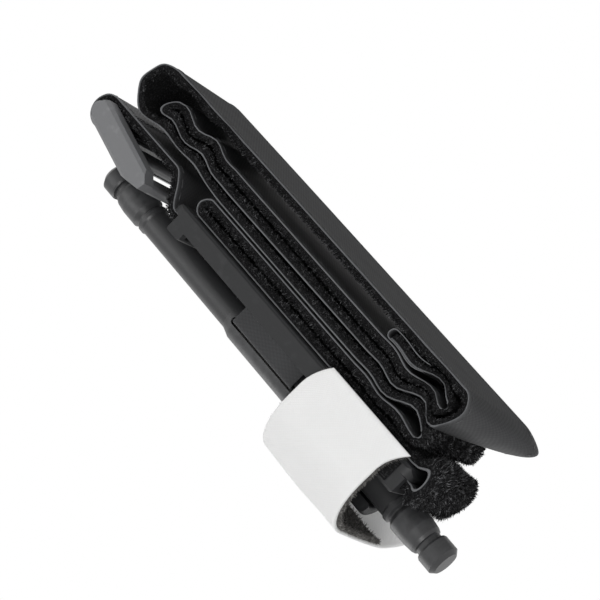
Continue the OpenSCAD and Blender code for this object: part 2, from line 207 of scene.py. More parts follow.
class Wire:  # a socket that does sums; make() adds any other node
    def __init__(self, tree, socket=None):
        self.tree = tree
        self.socket = socket

    def make(self, kind, settings=None, inputs=None, out=0):  # inputs are values or other wires
        node = self.tree.nodes.new(kind)
        for key, value in (settings or {}).items():
            setattr(node, key, value)
        for key, value in (inputs or {}).items():
            if isinstance(value, Wire):
                self.tree.links.new(value.socket, node.inputs[key])
            else:
                node.inputs[key].default_value = value
        return Wire(self.tree, node.outputs[out] if node.outputs else None)

    def sum(self, kind, first, second=0.0, clamp=False):
        return self.make("ShaderNodeMath", {"operation": kind, "use_clamp": clamp}, {0: first, 1: second})

    def __add__(self, other):
        return self.sum("ADD", self, other)

    def __radd__(self, other):
        return self.sum("ADD", other, self)

    def __sub__(self, other):
        return self.sum("SUBTRACT", self, other)

    def __rsub__(self, other):
        return self.sum("SUBTRACT", other, self)

    def __mul__(self, other):
        return self.sum("MULTIPLY", self, other)

    def __rmul__(self, other):
        return self.sum("MULTIPLY", other, self)

    def __pow__(self, other):
        return self.sum("POWER", self, other)

    def __abs__(self):
        return self.sum("ABSOLUTE", self)

    def sine(self):
        return self.sum("SINE", self)

    def within(self, low, high):  # 0 below low, 1 above high, eased between
        span = {"Value": self, "From Min": low, "From Max": high}
        return self.make("ShaderNodeMapRange", {"interpolation_type": "SMOOTHSTEP"}, span)

    def axis(self, n):
        return self.make("ShaderNodeSeparateXYZ", None, {0: self}, n)

    def noise(self, scale, detail=3.0):
        return self.make("ShaderNodeTexNoise", None, {"Vector": self, "Scale": scale, "Detail": detail})

    def blendTo(self, one, two):  # a colour between one, where the wire is 0, and two, where it is 1
        one, two = (c if isinstance(c, Wire) else (*c, 1) for c in (one, two))
        return self.make("ShaderNodeMix", {"data_type": "RGBA"}, {0: self, 6: one, 7: two}, 2)


def finish(name, recipe, steady=None):  # the recipe gives what varies, and steady values go on the sockets
    mat = bpy.data.materials.new(name)
    mat.use_nodes = True
    mat.node_tree.nodes.clear()
    start = Wire(mat.node_tree)
    shader = start.make("ShaderNodeBsdfPrincipled", None, {**(steady or {}), **recipe(start)})
    start.make("ShaderNodeOutputMaterial", None, {"Surface": shader})
    return mat


def bumped(start, height, strength, reach):  # a height as a Normal
    return start.make("ShaderNodeBump", None, {"Height": height, "Strength": strength, "Distance": reach})


def coords(start):  # Object coordinates
    return start.make("ShaderNodeTexCoord", None, None, 3)


def clothPlace(start):  # the cloth's own length and width, in millimetres
    return start.make("ShaderNodeUVMap", {"uv_map": "cloth"})


def mark(start, key):  # a value kept at the mesh's points
    return start.make("ShaderNodeAttribute", {"attribute_name": key}, None, 2)


tints = dict(  # each finish's dark colour and pale colour
    rod=((0.03, 0.0304, 0.0315), (0.066, 0.067, 0.07)),
    buckle=((0.135, 0.137, 0.142), (0.24, 0.242, 0.248)),
    clip=((0.013, 0.0134, 0.0142), (0.036, 0.037, 0.039)),
    plate=((0.015, 0.0154, 0.0162), (0.04, 0.041, 0.043)),
    tape=((0.014, 0.0142, 0.015), (0.066, 0.067, 0.07)),
    sealed=((0.02, 0.0205, 0.0215), (0.06, 0.061, 0.064)),
    pile=((0.004, 0.004, 0.0043), (0.045, 0.0455, 0.047)),
    pileTips=((0.004, 0.004, 0.0043), (0.23, 0.232, 0.24)),
    lining=((0.13, 0.126, 0.12), (0.25, 0.243, 0.232)),
    liningTips=((0.13, 0.126, 0.12), (0.5, 0.49, 0.47)),
    thread=((0.014, 0.014, 0.015), (0.06, 0.061, 0.065)),
    whiteThread=((0.66, 0.66, 0.64), (0.86, 0.86, 0.85)))
selvedgeGrey = (0.15, 0.153, 0.16)
# the strap's grey colour: its cut edges and random patches, and also the painted shade in its weave's
# hollows
strapClean, strapSoiledAndShaded = (0.93, 0.93, 0.922), (0.66, 0.66, 0.65)


def plasticRecipe(dark, pale, grain, gloss):  # moulded plastic: fine grain, cloudy gloss, a paler rub
    def recipe(start):
        place = coords(start)
        cloud, fine, scuff = place.noise(90, 4), place.noise(grain, 2), place.noise(420, 5)
        rub = (scuff * 0.7 + cloud * 0.5).within(0.62, 0.86)
        return {"Base Color": (rub * 0.55).blendTo(dark, pale),
                "Roughness": gloss + (cloud - 0.5) * 0.22 + (fine - 0.5) * 0.1,
                "Normal": bumped(start, fine * 0.6 + scuff * 0.4, 0.35, 0.00012)}
    return recipe


def rodRecipe(start):  # the rod's plastic, paler where the raised rings and knobs are rubbed
    place = coords(start)
    y, z = place.axis(1), place.axis(2) - rodZ * mm
    out = (y * y + z * z) ** 0.5
    cloud, fine, scuff = place.noise(45, 3), place.noise(2600, 2), place.noise(420, 6)
    rub = out.within(0.0043, 0.0050) * (scuff * 1.4).within(0.4, 0.9)
    return {"Base Color": (rub * 0.5 + cloud * 0.06).blendTo(*tints["rod"]),
            "Roughness": 0.4 + (cloud - 0.5) * 0.06 - rub * 0.04 + (scuff - 0.5) * 0.08,
            "Normal": bumped(start, fine * 0.55 + scuff * 0.45, 0.26, 0.0001)}


def weave(place, rib, fill):  # threads over and under, the product of two sines, and the cords they form
    warp, weft = (place.axis(0) * (math.pi / rib)).sine(), (place.axis(1) * (math.pi / fill)).sine()
    return (warp * weft) * 0.5 + 0.5, abs(warp) * 0.5 + abs(weft) * 0.5


def tapeRecipe(start):  # black woven tape: ribbed threads with painted shade in their hollows, dusty patches, soft dents, a pale bound edge
    place = clothPlace(start)
    over, cord = weave(place, 0.55, 0.85)
    cloud, lint, dents = place.noise(0.06, 4), place.noise(1.6, 3), place.noise(0.11, 2)
    # paler on the threads that lie on top: painted shade in the weave's hollows, mixed with dusty patches
    body = (over * 0.15 + cloud * 0.45 + lint * 0.35).blendTo(*tints["tape"])
    edge = mark(start, "selvedge") * (0.2 + lint * 0.7 + cloud * 0.5)
    return {"Base Color": edge.blendTo(body, selvedgeGrey),
            "Roughness": 0.66 + (lint - 0.5) * 0.25 - over * 0.1,
            "Normal": bumped(start, over * 0.6 + cord * 0.4 + dents * 16, 0.15, 0.00012)}


def sealedRecipe(start):  # the smooth cover of the free end, with the same pale edge as the tape
    place = clothPlace(start)
    smear, lint = place.noise(0.25, 4), place.noise(1.6, 3)
    edge = mark(start, "selvedge") * (0.45 + lint * 0.7)
    return {"Base Color": edge.blendTo(smear.blendTo(*tints["sealed"]), selvedgeGrey),
            "Roughness": 0.45 + (smear - 0.5) * 0.2,
            "Normal": bumped(start, lint, 0.2, 0.0001)}


def pileRecipe(dark, pale):  # the ground that the fibres stand in, with knots that catch the light
    def recipe(start):
        place = coords(start)
        knots, cloud = place.noise(2200, 3), place.noise(200, 3)
        return {"Base Color": (knots.within(0.48, 0.74) * 0.85 + cloud * 0.15).blendTo(dark, pale),
                "Roughness": 0.85 + (knots - 0.5) * 0.2,
                "Normal": bumped(start, knots, 0.8, 0.0005)}
    return recipe


def fibreRecipe(dark, pale):  # most fibres are dark, and a few catch the light towards their tips
    def recipe(start):
        shade = mark(start, "shade")
        lit = mark(start, "tip") * (0.04 + shade ** 5 * 0.96)
        return {"Base Color": lit.blendTo(dark, pale), "Roughness": 0.5 + shade * 0.2}
    return recipe


def strapRecipe(start):  # white writing tape: a tight weave, with painted shade in its hollows, and greyer at its cut edges
    place = clothPlace(start)
    over, cord = weave(place, 0.42, 0.42)
    cloud, lint = place.noise(0.09, 4), place.noise(2.2, 3)
    # painted shade where the weave is low, plus the grey cut edges and random grey patches
    soilAndShade = mark(start, "selvedge") * 0.45 + (1 - over) * 0.10 + (cloud - 0.5) * 0.16
    return {"Base Color": soilAndShade.blendTo(strapClean, strapSoiledAndShaded),
            "Roughness": 0.62 + (lint - 0.5) * 0.2,
            "Normal": bumped(start, over * 0.7 + cord * 0.3, 0.28, 0.00016)}


def threadRecipe(dark, pale):  # sewing thread, with its ply as slanted stripes
    def recipe(start):
        place = coords(start)
        ply = ((place.axis(0) + place.axis(1) + place.axis(2)) * 9000).sine() * 0.5 + 0.5
        return {"Base Color": (ply * 0.7 + place.noise(600) * 0.3).blendTo(dark, pale),
                "Normal": bumped(start, ply, 0.5, 0.0001)}
    return recipe


def shine(level):  # the same all over
    return {"Specular IOR Level": level}


rodPlastic = finish("rodPlastic", rodRecipe, shine(0.42))
bucklePlastic = finish("bucklePlastic", plasticRecipe(*tints["buckle"], 2400, 0.44))
clipPlastic = finish("clipPlastic", plasticRecipe(*tints["clip"], 2200, 0.5), shine(0.3))
platePlastic = finish("platePlastic", plasticRecipe(*tints["plate"], 2000, 0.52), shine(0.3))
wovenTape = finish("wovenTape", tapeRecipe, shine(0.28))
sealedTape = finish("sealedTape", sealedRecipe, shine(0.28))
pileGround = finish("pileGround", pileRecipe(*tints["pile"]), shine(0.08))
pileFibre = finish("pileFibre", fibreRecipe(*tints["pileTips"]), shine(0.08))
liningGround = finish("liningGround", pileRecipe(*tints["lining"]), shine(0.08))
liningFibre = finish("liningFibre", fibreRecipe(*tints["liningTips"]), shine(0.08))
strapGlow = {"Subsurface Weight": 0.6, "Subsurface Scale": 0.003, "Subsurface Radius": (1.0, 1.0, 1.0)}
strapWhite = finish("strapWhite", strapRecipe, strapGlow)
darkThread = finish("darkThread", threadRecipe(*tints["thread"]), {"Roughness": 0.55})
whiteThread = finish("whiteThread", threadRecipe(*tints["whiteThread"]), {"Roughness": 0.6})
for node, mat in {"windlass_rod": rodPlastic, "buckle_frame": bucklePlastic,
                  "windlass_clip": clipPlastic, "base_plate": platePlastic}.items():
    for slotOfNode in frame["nodes"][node].material_slots:
        slotOfNode.material = mat
print("finishes ready:", len(bpy.data.materials))

band = dict(width=38.0, tape=0.9, edge=0.2, pull=0.6, pullWidth=25.0, pullGap=0.06, pile=1.1, pileInset=0.3,
            pileEdge=0.3, ground=0.5, air=0.65, step=2.0, slack=1.4, thinEdge=0.48, thinFrom=16.6,
            thinOver=1.9, sewnFrom=13.6, sewnOver=3.4, sewnGap=0.02)
halfBand = band["width"] / 2
bandThick = band["tape"] + band["pull"] + band["pile"]
pitch = bandThick + band["air"]
upper = bandThick / 2
groundTopD = -upper + band["pile"]  # the side of the pile's ground that meets the pull band


def level(k):  # the height of the middle line in layer k of the stack
    return upper + k * pitch


turns = dict(front=0.5, short=6.0, pair=8.0, back=7.0, outer=4.0, backNest=6.0, nest=2.0, tip=24.0,
             sewnFrom=8.0, sewnTo=5.4, sewnGap=0.5, sewnLift=1.0, dropFrom=9.5, dropLong=9.0)
plateThick, plateGap, hingeBar, hingeGap = 2.8, 0.3, 2.0, 0.4
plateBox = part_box("base_plate")
plateLow, plateEnd, bridgeEnd = plateBox[0].z / mm, -plateBox[0].x / mm, plateBox[1].x / mm
topRun = plateLow + plateThick + plateGap + upper
loopR = hingeBar + hingeGap + upper
lowRun = hingeZ - loopR
sewnZ = lowRun + bandThick + turns["sewnGap"]
outerTurn = -(plateEnd - turns["outer"])
nestTurn = outerTurn + turns["nest"]
tipX = nestTurn + turns["tip"]
backTurn = hingeX - turns["back"]
dropT = np.linspace(0, 1, 13)
dropX = bridgeEnd + turns["dropFrom"] - turns["dropLong"] * dropT
dropZ = lowRun + (topRun - lowRun) * (1 - np.cos(np.pi * dropT)) / 2  # half a cosine between the two runs


def fold(x, low, high, start, sweep):  # half a circle between two levels
    return arc(x, (low + high) / 2, (high - low) / 2, start, sweep, 32)


bandPieces = [  # the band's middle line in x and z, from its sewn end round the buckle to its free end
    np.array([[hingeX - turns["sewnFrom"], sewnZ], [hingeX - turns["sewnTo"], sewnZ + turns["sewnLift"]]]),
    np.concatenate([arc(hingeX, hingeZ, loopR, 115, -25, 4),
                    arc(hingeX + band["slack"], hingeZ, loopR, 90, -180, 24)]),  # round the hinge bar
    np.stack([dropX, dropZ], 1),
    fold(-(plateEnd + turns["front"]), level(6), topRun, 90, 180),
    fold(bridgeEnd - turns["short"], level(5), level(6), 90, -180),
    fold(-(plateEnd - turns["pair"]), level(4), level(5), 90, 180),
    fold(backTurn, level(0), level(4), 90, -180),
    fold(outerTurn, level(0), level(3), -90, -180),
    fold(backTurn - turns["backNest"], level(2), level(3), 90, -180),
    fold(nestTurn, level(1), level(2), 90, 180),
    np.array([[tipX, level(1)]])]
topPiece, frontPiece, shortPiece, pairPiece = 2, 3, 4, 5  # their numbers in the list
bandXz, bandAlong, bandTag, bandLeft = route(bandPieces, band["step"])
bandLength = bandAlong[-1]

# the soft field, in millimetres ahead of the plate's end or behind the buckle's hinge bar
frontWave = dict(height=1.1, length=15.5, slew=4.0, phase=1.02, start=34.0, fade=16.0, top=21.2)
backWave = dict(height=1.0, length=14.0, slew=3.0, phase=0.94, start=43.0, fade=16.0, top=16.6,
                sag=1.3, sagFrom=5.0, sagOver=10.0, sagFade=1.5, twist=-1.0)
pairFold = dict(bulge=2.3, at=11.5, reach=5.0, mid=15.925, gap=0.095, down=1.0, up=0.35, base=0, roof=6,
                noseWidth=0.12, noseAt=9.2)
slant = dict(reach=2.0, low=12.4, lowOver=1.2, high=18.9, highOver=0.9, start=17.0, startOver=9.0, end=2.0,
             endOver=1.6)
nestFold = dict(bulge=2.4, at=12.0, reach=8.0, mid=6.24, gap=0.04, down=0.5, up=0.5, base=0, roof=3,
                noseWidth=0.1, noseAt=7.2)
openFolds = dict(shutFar=0.7, rounded=0.9, noseOver=1.2, noseEnd=3.0, noseFade=2.0)
outerFold = dict(flare=0.7, drawIn=0.39, flatten=0.45, start=12.0, over=13.0, top=11.5, fade=3.5)
frontFold = dict(near=0.62, far=0.8, low=1.05, shutFar=0.85, lift=0.3, droop=0.2, nearTuck=-0.2, tuck=1.3,
                 start=0.2, over=2.2, lowStart=2.6, lowOver=4.5, topFrom=17.0, topOver=2.0)
wander = dict(reach=0.42, length=21.0, climb=0.75, top=21.0, fade=3.0)


def inWave(wave, way, z):  # fades in from the wave's start, and dies out below and above its stack
    return ease((way + wave["start"]) / wave["fade"]) * np.sin(np.pi * np.clip(z / wave["top"], 0, 1))


def roll(wave, way):  # a sine along the band
    return wave["height"] * np.sin(2 * np.pi * way / wave["length"] - wave["phase"])


def backRise(behind, far, z):  # waves in the stack behind, its sag and the twist of its far edge
    waves = roll(backWave, behind - backWave["slew"] * far) + backWave["twist"] * far
    waves = waves * inWave(backWave, behind, z)
    sagging = np.clip(z / level(4), 0, 1) * (1 - ease((z - level(4) - upper) / backWave["sagFade"]))
    sagging = sagging * ease((-backWave["sagFrom"] - behind) / backWave["sagOver"])
    return waves - backWave["sag"] * ease((behind + backWave["start"]) / backWave["fade"]) * sagging


def foldRise(leaf, ahead, far, z):
    # a fold stands open like a drop, by exp(-t^2) along it: its lower leaf sinks and its upper leaf rises
    low, high = leaf["mid"] - leaf["gap"], leaf["mid"] + leaf["gap"]
    heights = [level(leaf["base"]), low, high, level(leaf["roof"])]
    share = np.interp(z, heights, [0, -leaf["down"], leaf["up"], 0])
    gape = np.exp(-((ahead + leaf["at"]) / leaf["reach"]) ** 2) * (1 - openFolds["shutFar"] * far)
    return leaf["bulge"] * gape * share


def foldNose(leaf, ahead, far, z):  # rounds the end of such a drop, by exp(-t^2) in height
    end = ease((ahead + leaf["noseAt"]) / openFolds["noseOver"])
    end = end * (1 - ease((ahead + openFolds["noseEnd"]) / openFolds["noseFade"]))
    return openFolds["rounded"] * (1 - far) * np.exp(-((z - leaf["mid"]) / leaf["noseWidth"]) ** 2) * end


def outerShift(ahead, far, z):  # the outer fold is drawn in on the near side, flat and wide on the far side
    lower = 1 - ease((z - outerFold["top"]) / outerFold["fade"])
    past = ahead + outerFold["start"]
    spread = (outerFold["flare"] * far ** 1.2 - outerFold["drawIn"]) * lower * np.maximum(past, 0)
    sink = outerFold["flatten"] * far ** 1.3 * ease(past / outerFold["over"]) * lower * np.maximum(z, 0)
    return spread, -sink


def pairSlant(ahead, far, z):  # the pair fold reaches further out on the far side
    inPair = ease((z - slant["low"]) / slant["lowOver"])
    inPair = inPair * (1 - ease((z - slant["high"]) / slant["highOver"]))
    inPair = inPair * ease((-ahead - slant["end"]) / slant["endOver"])
    inPair = inPair * ease((ahead + slant["start"]) / slant["startOver"])
    return slant["reach"] * far ** 1.3 * inPair


def frontShift(ahead, far, z):  # the front fold is a round eye on the near side, wide open on the far side
    mid = (level(6) + topRun) / 2
    top = ease((z - frontFold["topFrom"]) / frontFold["topOver"])
    out = ease(np.maximum(ahead - frontFold["start"], 0) / frontFold["over"])
    lowOut = ease((ahead + frontFold["lowStart"]) / frontFold["lowOver"])
    above = out * (frontFold["near"] + frontFold["far"] * far ** 1.3)
    below = lowOut * frontFold["low"] * (1 - frontFold["shutFar"] * far)
    rise = top * np.where(z > mid, above, below) * (z - mid)
    rise = rise + out * top * (frontFold["lift"] - frontFold["droop"] * (1 - far))
    return -out * top * (frontFold["nearTuck"] + frontFold["tuck"] * far), rise


def settle(p):  # the sum of the shifts above, for everything that lies on the band
    x, y, z = p[..., 0], p[..., 1], p[..., 2]
    ahead, behind = -plateEnd - x, x - hingeX
    far = np.clip((y + halfBand) / band["width"], 0, 1)  # 0 on the near edge, 1 on the far edge
    outerSpread, outerRise = outerShift(ahead, far, z)
    frontSpread, frontRise = frontShift(ahead, far, z)
    rise = inWave(frontWave, ahead, z) * roll(frontWave, frontWave["slew"] * far - ahead)
    rise = rise + backRise(behind, far, z) + outerRise + frontRise
    spread = outerSpread + frontSpread + pairSlant(ahead, far, z)
    for leaf in (pairFold, nestFold):
        rise = rise + foldRise(leaf, ahead, far, z)
        spread = spread + foldNose(leaf, ahead, far, z)
    sway = wander["reach"] * np.sin(x / wander["length"] + z * wander["climb"])
    return np.stack([x - spread, y + sway * ease((wander["top"] - z) / wander["fade"]), z + rise], -1)


def onBand(v, d):  # a place v across the band and d to its left, for each row of the route
    xz = bandXz[:, None] + bandLeft[:, None] * d[..., None]
    return settle(np.stack([xz[..., 0], np.broadcast_to(v, xz.shape[:2]), xz[..., 1]], -1))


def thinning(v):  # how far the tape's inside comes up towards its bound edges
    return band["thinEdge"] * ease((np.abs(v) - band["thinFrom"]) / band["thinOver"])


tapeAcross = columns(band["width"], band["edge"], 28)
tapeFloor = upper - band["tape"] + thinning(tapeAcross)
bandTape = ribbon("bandTape", wovenTape, bandAlong, onBand, tapeAcross, tapeFloor, upper,
                  band["edge"], band["width"], pale=0.28, fade=0.175)

# past the pull band's channel the ground comes up and is sewn to the tape
# over the slit where the pull band comes up it thins to a film
slit = dict(half=12.2, alongFade=1.6, acrossFade=1.2, film=0.06)
pileWidth = band["width"] - band["pileInset"]
pileAcross = columns(pileWidth, band["pileEdge"], 40)
sewnUp = ease((np.abs(pileAcross) - band["sewnFrom"]) / band["sewnOver"])
groundTop = groundTopD + (band["pull"] + thinning(pileAcross) - band["sewnGap"]) * sewnUp
slitAlong = (bandTag == topPiece) * (1 - ease((np.abs(bandXz[:, 0]) - slit["half"]) / slit["alongFade"]))
slitAcross = 1 - ease((np.abs(pileAcross) - slit["half"]) / slit["acrossFade"])
thinned = slitAlong[:, None] * slitAcross[None] * (band["ground"] - slit["film"])
groundFloor = groundTopD - band["ground"] + thinned
bandPile = ribbon("bandPile", pileGround, bandAlong, onBand, pileAcross, groundFloor, groundTop,
                  band["pileEdge"], pileWidth, pale=0.3, fade=0.1875)

pullAcross = columns(band["pullWidth"], band["edge"], 14)
pullFloor, pullRoof = groundTopD + band["pullGap"], upper - band["tape"] - band["pullGap"]
innerBand = ribbon("innerBand", wovenTape, bandAlong, onBand, pullAcross, pullFloor, pullRoof,
                   band["edge"], band["pullWidth"], pale=0.2, fade=0.125)
print("band laid:", round(bandLength, 1), "mm")


def spots(where, along, values):  # values of a route at the given lengths along it
    return np.stack([np.interp(where, along, values[:, k]) for k in range(2)], 1)


def bandSpots(where, v):  # places at the given lengths along the band, and the way out of its tape there
    xz, left = spots(where, bandAlong, bandXz), unit(spots(where, bandAlong, bandLeft))
    return np.stack([xz[:, 0], v, xz[:, 1]], 1), np.stack([left[:, 0], 0 * v, left[:, 1]], 1)


fuzz = dict(openCount=42000, edgeCount=44000, pairCount=20000, shortest=0.5, longest=1.2, thick=0.24,
            clump=0.6, stray=0.45, half=18.9, slitX=13.2, slitY=13.0, frontFrom=14.0, frontTo=6.0,
            pairFrom=15.0, edgeHalf=18.75, edgeDepth=0.6, edgeStart=2.0, edgeEnd=13.0)
rim = dict(count=62000, shortest=0.25, longest=0.6, thick=0.2, clump=0.15, stray=0.45, half=18.8, depth=0.12,
           start=26.0, end=1.0)


def pileFuzz(name, where, v, spread, deep, shallow=1.0, fibre=fuzz):  # fibres rooted in the ground
    root, left = bandSpots(where, v)
    root = root + left * (groundTopD - band["ground"] * dice.uniform(deep, shallow, (len(v), 1)))
    sideways = np.stack([0 * v, np.sign(v) * spread, 0 * v], 1)
    lean = -left + sideways + dice.normal(scale=fibre["stray"], size=root.shape)
    return fibres(name, pileFibre, fibre, root, lean, where, v, settle)


def ends(rows):  # the first and last length along the band of the given rows
    return bandAlong[rows][0], bandAlong[rows][-1]


onTop, onFront = bandTag == topPiece, bandTag == frontPiece
openFrom, openTo = ends(onTop | (onFront & (bandXz[:, 0] < fuzz["frontTo"] - plateEnd)))
frontFrom = ends(onTop & (bandXz[:, 0] < fuzz["frontFrom"] - plateEnd))[0]
openAt = np.concatenate([dice.uniform(openFrom, openTo, fuzz["openCount"] // 2),
                         dice.uniform(frontFrom, openTo, fuzz["openCount"] // 2)])
openV = dice.uniform(-fuzz["half"], fuzz["half"], len(openAt))
openX = np.interp(openAt, bandAlong, bandXz[:, 0])
clear = (np.abs(openX) > fuzz["slitX"]) | (np.abs(openV) > fuzz["slitY"])
bandFuzz = pileFuzz("bandFuzz", openAt[clear], openV[clear], 0.15, 0.3)
edgeAt = dice.uniform(fuzz["edgeStart"], bandLength - fuzz["edgeEnd"], fuzz["edgeCount"])
edgeV = dice.choice([-1, 1], fuzz["edgeCount"])
edgeV = edgeV * (fuzz["edgeHalf"] - dice.exponential(fuzz["edgeDepth"], fuzz["edgeCount"]))
edgeFuzz = pileFuzz("edgeFuzz", edgeAt, edgeV, 0.7, -1.2)
pairRows = (bandTag == shortPiece) | (bandTag == pairPiece)
pairRows = pairRows & (bandXz[:, 0] < fuzz["pairFrom"] - plateEnd)
pairAt = dice.uniform(*ends(pairRows), fuzz["pairCount"])
pairV = dice.uniform(-fuzz["half"], fuzz["half"], fuzz["pairCount"])
pairFuzz = pileFuzz("pairFuzz", pairAt, pairV, 0.15, 0.3)
rimAt = dice.uniform(rim["start"], bandLength - rim["end"], rim["count"])
rimV = dice.choice([-1, 1], rim["count"])
rimV = rimV * (rim["half"] - dice.exponential(rim["depth"], rim["count"]))
rimFuzz = pileFuzz("rimFuzz", rimAt, rimV, 2.2, -1.1, 1.9, rim)
piles = [bandFuzz, edgeFuzz, pairFuzz, rimFuzz]
print("pile raised:", sum(len(o.data.polygons) for o in piles), "triangles")

seam = dict(start=20.0, end=16.0, inset=2.3, pitch=3.3, length=2.6, width=0.5, height=0.2, sunk=0.02)
tack = dict(rows=(7.2, 6.4, 5.6), count=26, half=17.5, zigzag=0.35, along=0.94, length=1.7, width=0.5,
            height=0.22)
seamAt = np.tile(np.arange(seam["start"], bandLength - seam["end"], seam["pitch"]), 2)
seamV = np.repeat([-1, 1], len(seamAt) // 2) * (halfBand - seam["inset"])
seamRoot, seamUp = bandSpots(seamAt, seamV)
seamWay = np.stack([seamUp[:, 2], 0 * seamV, -seamUp[:, 0]], 1)
seamPoints, seamFaces = stitchRow(seamRoot + seamUp * (upper - seam["sunk"]), seamWay, seamUp,
                                  seam["length"], seam["width"], seam["height"])
# bar tacks through the doubled end behind the buckle, seen from below
tackX = hingeX - np.repeat(tack["rows"], tack["count"])
tackY = np.tile(np.linspace(-tack["half"], tack["half"], tack["count"]), len(tack["rows"]))
tackRoot = np.stack([tackX, tackY, 0 * tackX + lowRun - upper + seam["sunk"]], 1)
tackSlant = np.tile([tack["zigzag"], -tack["zigzag"]], len(tackX) // 2)
tackWay = np.stack([tackSlant, 0 * tackX + tack["along"], 0 * tackX], 1)
tackDown = np.tile([0, 0, -1.0], (len(tackX), 1))
tackPoints, tackFaces = stitchRow(tackRoot, tackWay, tackDown, tack["length"], tack["width"], tack["height"])
threadPoints = np.concatenate([settle(seamPoints).reshape(-1, 3), settle(tackPoints).reshape(-1, 3)])
threadFaces = np.concatenate([seamFaces, tackFaces + seamPoints.shape[0] * seamPoints.shape[1]])
bandSeam = putMesh("bandSeam", darkThread, threadPoints, threadFaces)

tip = dict(length=12.0, thick=0.3, slack=0.2, overhang=0.1, edge=0.1)
tipUp, tipDown = level(1) + upper + tip["thick"] / 2, level(1) - upper - tip["thick"] / 2
tipXz, tipAlong, _, tipLeft = route([  # under the free end, round it and back above it
    np.array([[tipX - tip["length"], tipDown]]),
    arc(tipX + tip["slack"], level(1), (tipUp - tipDown) / 2, -90, 180, 16),
    np.array([[tipX - tip["length"], tipUp]])], 1.0)
tipWidth = band["width"] + tip["overhang"]


def onTip(v, d):  # the same for the cover of the free end
    xz = tipXz[:, None] + tipLeft[:, None] * d[..., None]
    return settle(np.stack([xz[..., 0], np.broadcast_to(v, xz.shape[:2]), xz[..., 1]], -1))


bandTip = ribbon("bandTip", sealedTape, tipAlong, onTip, columns(tipWidth, tip["edge"], 20),
                 -tip["thick"] / 2, tip["thick"] / 2, tip["edge"], tipWidth, pale=0.3, fade=0.2)

strap = dict(width=30.0, thick=0.9, edge=0.42, lining=0.8, liningInset=0.5, liningEdge=0.3, bend=14.0,
             hang=2.6, barR=1.5, barGap=0.3, flapTop=33.4, flapLow=3.6, flapGap=0.06, crown=1.5,
             crownFrom=32.0, crownOver=11.0, ripple=0.16, rippleX=4.1, rippleY=6.3, rake=3.3, rakeOver=9.0,
             lean=0.5, skew=2.4, skewOver=12.0)
strapLow, strapHigh = (np.array(corner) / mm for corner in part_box("time_strap"))
halfThick = strap["thick"] / 2
strapX = (strapLow[0] + strapHigh[0]) / 2
ringR = strap["barR"] + strap["barGap"] + halfThick
rootY, strapTop = barY + ringR, strapHigh[2] - halfThick
shutY, hemZ = strapLow[1] + halfThick, strapLow[2] - strap["hang"]
flapY = rootY - strap["thick"] - strap["flapGap"]
strapYz, strapAlong, strapTag, strapLeft = route([  # the flap, the bar, up, over the hook and down
    np.array([[flapY, strap["flapTop"]], [flapY, barZ + strap["flapLow"]]]),
    arc(barY, barZ, ringR, 72, 288, 30),
    arc(rootY - strap["bend"], strapTop - strap["bend"], strap["bend"], 0, 90, 26),
    arc(shutY + strap["bend"], strapTop - strap["bend"], strap["bend"], 90, 90, 26),
    np.array([[shutY, hemZ]])], 1.0)


def arch(p):  # the strap's top is crowned by half a sine, and its rims draw in above the hem by t(2 - t)
    x, y, z = p[..., 0], p[..., 1], p[..., 2]
    high = ease((z - strap["crownFrom"]) / strap["crownOver"])
    span = np.clip((y - shutY) / (rootY - shutY), 0, 1)  # 0 at the hem, 1 at the bar
    ripple = strap["ripple"] * high * np.sin(x / strap["rippleX"] + y / strap["rippleY"])
    lift = strap["crown"] * high * np.sin(np.pi * span) + ripple
    rimward = np.clip((strapX - x) / strap["width"] + 0.5, 0, 1)
    t = np.clip((z - hemZ) / strap["rakeOver"], 0, 1)
    lean = (strap["rake"] + strap["lean"] * rimward) * t * (2 - t) * (1 - span) ** 0.6 * ease((1 - span) * 5)
    skew = strap["skew"] * high * span ** 1.5 * ease((strapX - x) / strap["skewOver"])
    return np.stack([x + lean - skew, y, z + lift], -1)


def strapLayer(name, finishOf, width, low, high, edge, rows):  # from low to high off the strap's middle line
    def onStrap(v, d):
        yz = strapYz[rows][:, None] + strapLeft[rows][:, None] * d[..., None]
        return arch(np.stack([np.broadcast_to(strapX + v, yz.shape[:2]), yz[..., 0], yz[..., 1]], -1))
    across = columns(width, edge, 26)
    return ribbon(name, finishOf, strapAlong[rows], onStrap, across, low, high, edge, width,
                  pale=0.5, fade=0.5)


strapRows = np.arange(len(strapYz))
liningRows = strapRows[(strapTag >= 2) & (strapYz[:, 0] < rootY - strap["bend"] - 1)][:-1]
timeStrap = strapLayer("timeStrap", strapWhite, strap["width"], -halfThick, halfThick, strap["edge"],
                       strapRows)
strapLining = strapLayer("strapLining", liningGround, strap["width"] - strap["liningInset"], halfThick,
                         halfThick + strap["lining"], strap["liningEdge"], liningRows)

loops = dict(count=28000, shortest=0.5, longest=1.4, thick=0.22, clump=0.7, inset=0.35, rimShare=0.5,
             rimDepth=0.5, rimFrom=13.6, rimLean=0.5, rootFrom=0.6, rootTo=1.2, stray=0.5)
loopAt = dice.uniform(strapAlong[liningRows[0]], strapAlong[liningRows[-1]], loops["count"])
rimHalf = strap["width"] / 2 - loops["inset"]
spreadOut = dice.uniform(size=loops["count"]) < 1 - loops["rimShare"]
spreadV = dice.uniform(-rimHalf, rimHalf, loops["count"])
crowdedV = dice.choice([-1, 1], loops["count"])
crowdedV = crowdedV * (rimHalf - dice.exponential(loops["rimDepth"], loops["count"]))
loopV = np.where(spreadOut, spreadV, crowdedV)
loopYz, inYz = spots(loopAt, strapAlong, strapYz), spots(loopAt, strapAlong, strapLeft)
inward = np.stack([0 * loopAt, inYz[:, 0], inYz[:, 1]], 1)
loopRoot = np.stack([strapX + loopV, loopYz[:, 0], loopYz[:, 1]], 1)
